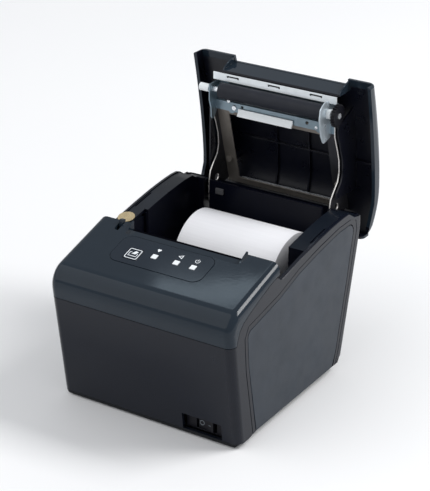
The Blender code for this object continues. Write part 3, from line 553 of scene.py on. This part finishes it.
def make_controls():
    refined("control_film", 0.12)
    refined("feed_button", 0.35)
    for k in range(3):
        refined(f"lamp_lens_{k + 1}", 0.3)
    # feed key: a framed sheet coming out of a slot
    cx, cy = BUTTON_X, BUTTON_V
    frame_line = ring(soft_box(cx - 5.0, cy - 4.9, cx + 5.0, cy + 4.9, 1.4),
                      soft_box(cx - 4.45, cy - 4.35, cx + 4.45, cy + 4.35, 0.95))
    sheet = slab([(cx - 1.5, cy - 0.1), (cx + 1.5, cy - 0.1), (cx + 2.9, cy + 2.6),
                  (cx + 0.5, cy + 3.1), (cx - 0.5, cy + 1.4)], 0.2, 0.31, on_panel)
    tray = slab(band([(cx - 1.9, cy + 1.6), (cx - 3.1, cy + 1.4), (cx - 3.2, cy - 2.1),
                      (cx + 3.2, cy - 2.1), (cx + 3.2, cy + 0.7)], 0.6), 0.2, 0.31, on_panel)
    link("feed_key_print", joined([frame_line, sheet, tray]), [MATERIALS["lamp"]], "button")
    # lamp symbols: a sheet, a triangle and a circle with a stroke
    low, high, mid = -0.05, 0.06, 6.2
    x = LAMP_X[0]
    drop = [(x - 1.6, mid + 0.7), (x - 0.8, mid + 1.6), (x, mid + 1.2), (x + 0.8, mid + 1.6),
            (x + 1.6, mid + 0.7), (x, mid - 1.4)]
    shapes = [slab(drop, low, high, on_panel)]
    x = LAMP_X[1]
    outer = [(x - 2.0, mid), (x + 1.6, mid + 1.9), (x + 1.6, mid - 1.9)]
    inner = [(x - 0.9, mid), (x + 1.1, mid + 1.05), (x + 1.1, mid - 1.05)]
    for i in range(3):
        j = (i + 1) % 3
        shapes.append(slab([outer[i], outer[j], inner[j], inner[i]], low, high, on_panel))
    x = LAMP_X[2]
    turns = [math.radians(a) for a in range(125, 416, 18)]
    circle = band([(x + 1.6 * math.cos(t), mid + 1.6 * math.sin(t)) for t in turns], 0.42)
    stroke = soft_box(x - 0.21, mid, x + 0.21, mid + 2.0, 0.1, 1)
    shapes += [slab(circle, low, high, on_panel), slab(stroke, low, high, on_panel)]
    link("lamp_symbols", joined(shapes), [MATERIALS["lamp"]], "base")


def on_rocker(a, b, h):
    """A point on the rocker's face: across and up its tilted front, and out from it."""
    lean = math.atan2(1.8, 6.4) * (1.0 if a > 0.0 else 0.12)
    return at(44.4 + a * math.cos(lean), 3.0 - a * math.sin(lean) - h, 9.2 + b)


def make_power_switch():
    refined("switch_body", 0.3)
    refined("power_rocker", 0.5)
    turns = [math.radians(15.0 * k) for k in range(25)]
    zero = slab(band([(-3.4 + 1.7 * math.cos(t), 1.6 * math.sin(t)) for t in turns], 0.45),
                -0.3, 0.12, on_rocker)
    one = slab(soft_box(2.2, -0.2, 4.2, 0.2, 0.1, 1), -0.3, 0.12, on_rocker)
    link("rocker_marks", joined([zero, one]), [MATERIALS["print_grey"]], "rocker")


# ---------------------------------------------------------------- the rest of the CAD parts
EDGE_ROUNDING = {
    "zinc_steel": 0.15, "bright_steel": 0.12, "aluminium": 0.12, "white_plastic": 0.2,
    "black_plastic": 0.2, "rubber": 0.3, "platen_rubber": 0.3, "ceramic": 0.08, "card": 0.1,
    "board_green": 0.08, "paper": 0.15, "seal": 0.05, "inner_plastic": 0.2, "base_plastic": 0.2,
}


def frame_hem(p, normal):
    """True on the edge of the flange at the frame's hinge side, in the open cover."""
    return 107.4 < p.z < 109.2 and abs(p.x) < 39.0 and normal.z > 0.5


def shaded_strip(p, _):
    """True on the frame's right strip, which the arm keeps in shade."""
    return p.x > 39.7


def latch_hook(p, _):
    """True on the bracket's right cheek."""
    return 44.0 < p.x < 46.5 and HINGE_SUM - p.z > 60.8 and p.y - HINGE_GAP < 99.0


def make_steelwork():
    for side in ("left", "right"):
        # the arms' broad faces get dark steel as painted shade; their edges stay pale, partly cut
        # metal and partly painted highlight
        refined(f"hinge_arm_{side}", 0.2, ("dark_steel", broad_face), base="arm_edge_highlight")
    refined("lid_frame", 0.2, ("dark_steel", shaded_strip), ("bright_steel", frame_hem),
            base="dull_steel", splits=(39.7,))
    holes = [slab(disc(radius, 16, (x, y)), 96.0, 101.4, on_lid)
             for x, y, radius in ((-26.5, 81.9, 1.1), (-21.8, 84.4, 0.7))]
    refined("platen_bracket", 0.15, ("pale_steel", latch_hook), cutter=joined(holes))
    refined("fixed_blade", 0.12, base="blade_steel")
    trim = slab([(-30.0, 80.0), (17.0, 80.0), (17.0, 83.1), (-30.0, 83.1)], 97.0, 99.2, on_lid)
    refined("paper_guide", 0.2, cutter=trim)
    for k in (1, 2):
        refined(f"lid_screw_{k}", 0.12, base="zinc_steel")
    for k in (3, 4):
        refined(f"lid_screw_{k}", 0.12, base="dull_steel")


def make_blade_slots():
    """The dark U-shaped cuts along the fixed blade, each round a bent tongue."""
    cuts, tongues = [], []
    for x in (-34.0, 0.0, 34.0):
        path = [(x - 4.5, 61.5), (x - 4.5, 60.5), (x + 4.5, 60.5), (x + 4.5, 61.5)]
        cuts.append(slab(band(path, 0.95), 98.5, 98.9, on_lid))
        tongues.append(slab([(x - 3.6, 61.1), (x + 3.6, 61.1), (x + 3.6, 61.55),
                             (x - 3.6, 61.55)], 98.22, 98.9, on_lid))
    link("blade_slots", joined(cuts), [MATERIALS["black_plastic"]], "lid")
    link("blade_tongues", joined(tongues), [MATERIALS["blade_steel"]], "lid")


def make_bracket_screws():
    """Pan heads with a cross slot on the platen bracket, and the pin beside them."""
    heads = []
    for x, y, radius, low in ((-33.0, 83.6, 1.75, 98.55), (-37.6, 79.0, 1.35, 98.4),
                              (34.6, 84.6, 1.2, 98.8)):
        head = slab(disc(radius, 20, (x, y)), low, 101.0, on_lid, 0.25)
        cross = [slab(soft_box(x - a, y - b, x + a, y + b, 0.08, 1), low - 0.5, low + 0.35, on_lid)
                 for a, b in ((radius * 0.62, 0.16), (0.16, radius * 0.62))]
        for slot in cross:
            head = carved(head, slot)
        heads.append(head)
    link("bracket_screws", joined(heads), [MATERIALS["bright_steel"]], "lid")


SOCKETS = (("dc", -44.0, 13.0, 12.0), ("drawer", -24.0, 12.5, 11.5),
           ("network", 0.0, 16.0, 13.5), ("usb", 24.0, 12.0, 11.0))
SOCKET_FOOT = 14.0


def make_sockets():
    """What is seen in the mouths of the sockets at the back: insulators and contacts."""
    blocks, contacts = [], []
    for kind, x, width, height in SOCKETS:
        half, low, high = width / 2.0 - 1.35, SOCKET_FOOT + 1.35, SOCKET_FOOT + height - 1.35
        middle = (low + high) / 2.0
        blocks.append(slab([(x - half, low), (x + half, low), (x + half, high), (x - half, high)],
                           128.05, 130.0, from_front))
        if kind == "dc":
            contacts.append(slab(disc(1.0, 20, (x, middle)), 130.0, 138.6, from_front, 0.3))
            continue
        lift = {"drawer": 1.6, "network": 2.4, "usb": 0.0}[kind]
        blocks.append(slab(soft_box(x - half + 1.0, middle + lift - 0.9, x + half - 1.0,
                                    middle + lift + 0.9, 0.3, 2), 130.0, 138.2, from_front, 0.15))
        count = {"drawer": 6, "network": 8, "usb": 4}[kind]
        pitch = (2.0 * half - 3.0) / (count - 1)
        for k in range(count):
            a = x - half + 1.5 + pitch * k
            contacts.append(slab([(a - 0.28, middle + lift - 1.1), (a + 0.28, middle + lift - 1.1),
                                  (a + 0.28, middle + lift - 0.88),
                                  (a - 0.28, middle + lift - 0.88)], 130.1, 137.6, from_front))
    link("socket_blocks", joined(blocks), [MATERIALS["black_plastic"]], "base")
    link("socket_contacts", joined(contacts), [MATERIALS["contact_gold"]], "base")


def make_blanking_plate():
    """The plate that closes the rear opening's free end, with its two screws."""
    outline = soft_box(33.2, 14.2, 53.6, 30.2, 0.8)
    plate = slab(outline, 138.2, 139.2, from_front, 0.15)
    for k in range(5):
        z = 18.0 + 2.1 * k
        plate = carved(plate, slab(soft_box(38.0, z, 49.0, z + 0.9, 0.4, 3), 137.0, 140.0,
                                   from_front))
    link("blanking_plate", plate, [MATERIALS["zinc_steel"]], "base")
    screws = [slab(disc(1.5, 20, (x, 22.2)), 139.1, 140.0, from_front, 0.25) for x in (35.6, 51.3)]
    link("plate_screws", joined(screws), [MATERIALS["bright_steel"]], "base")


def make_well_catch():
    """The small catch at the top of the paper well's rear wall."""
    block = slab(soft_box(-41.0, 105.3, -34.4, 109.8, 0.5), 147.7, 146.2, from_front, 0.3)
    link("well_catch", block, [MATERIALS["catch_grey"]], "base")


def make_small_parts():
    done = {n for o in bpy.data.objects for n in o.get("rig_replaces", [])}
    for name in sorted(nodes):
        if name not in done:
            refined(name, EDGE_ROUNDING.get(slots[name], 0.1))


make_casing()
make_controls()
make_power_switch()
make_steelwork()
make_blade_slots()
make_bracket_screws()
make_sockets()
make_blanking_plate()
make_well_catch()
make_small_parts()


# ---------------------------------------------------------------- studio
def make_floor():
    """A pale flat floor that the printer stands on."""
    half = 3.0
    mesh = bpy.data.meshes.new("studio_floor")
    mesh.from_pydata([(-half, -half, 0.0), (half, -half, 0.0), (half, half, 0.0),
                      (-half, half, 0.0)], [], [(0, 1, 2, 3)])
    floor = bpy.data.objects.new("studio_floor", mesh)
    bpy.context.scene.collection.objects.link(floor)
    f = Finish("studio_paper", (0.93, 0.93, 0.93), 0.75)
    f.tint(f.noise(3.0), (0.91, 0.91, 0.92))
    mesh.materials.append(f.material)


def area_light(name, position, target, size, power, along=(1.0, 0.0, 0.0),
               colour=(1.0, 1.0, 1.0)):
    """A soft box that faces target, its width along a direction. It lights but isn't seen."""
    light = bpy.data.lights.new(name, "AREA")
    light.shape = "RECTANGLE"
    light.size, light.size_y = size
    light.energy = power
    light.color = colour
    lamp = bpy.data.objects.new(name, light)
    bpy.context.scene.collection.objects.link(lamp)
    lamp.visible_camera = False
    back = (Vector(position) - Vector(target)).normalized()
    across = (Vector(along) - back * back.dot(Vector(along))).normalized()
    turn = Matrix((across, back.cross(across), back)).transposed().to_4x4()
    lamp.matrix_world = Matrix.Translation(position) @ turn


def make_studio():
    world = bpy.data.worlds.new("studio")
    world.use_nodes = True
    background = world.node_tree.nodes["Background"]
    background.inputs["Color"].default_value = (0.95, 0.97, 1.0, 1.0)
    background.inputs["Strength"].default_value = 0.55
    bpy.context.scene.world = world
    area_light("slope_strip", (-1.103, 0.931, 2.16), (-1.103, 0.931, 0.0), (0.5, 0.1), 0.55,
               (0.977, 0.211, 0.0), (0.72, 0.88, 1.0))
    area_light("key", (-1.6, -1.9, 2.3), (0.0, 0.0, 0.05), (4.2, 4.2), 46.0)
    area_light("right", (1.5, 1.0, 1.9), (0.0, 0.0, 0.05), (1.4, 0.7), 42.0)


def make_camera():
    """The camera, from its direction round the printer and its height above the horizon."""
    azimuth, elevation, roll = 0.56764347, 0.43062068, 0.00505914
    back = Vector((math.sin(azimuth) * math.cos(elevation),
                   -math.cos(azimuth) * math.cos(elevation), math.sin(elevation)))
    right = Vector((math.cos(azimuth), math.sin(azimuth), 0.0))
    up = back.cross(right)
    right, up = (right * math.cos(roll) + up * math.sin(roll),
                 up * math.cos(roll) - right * math.sin(roll))
    data = bpy.data.cameras.new("camera")
    data.sensor_width = 36.0
    data.lens = 128.08
    camera = bpy.data.objects.new("camera", data)
    bpy.context.scene.collection.objects.link(camera)
    turn = Matrix((right, up, back)).transposed().to_4x4()
    camera.matrix_world = Matrix.Translation((0.590668, -0.933087, 0.604783)) @ turn
    bpy.context.scene.camera = camera


make_floor()
make_studio()
make_camera()
bpy.context.scene.view_settings.view_transform = "Standard"
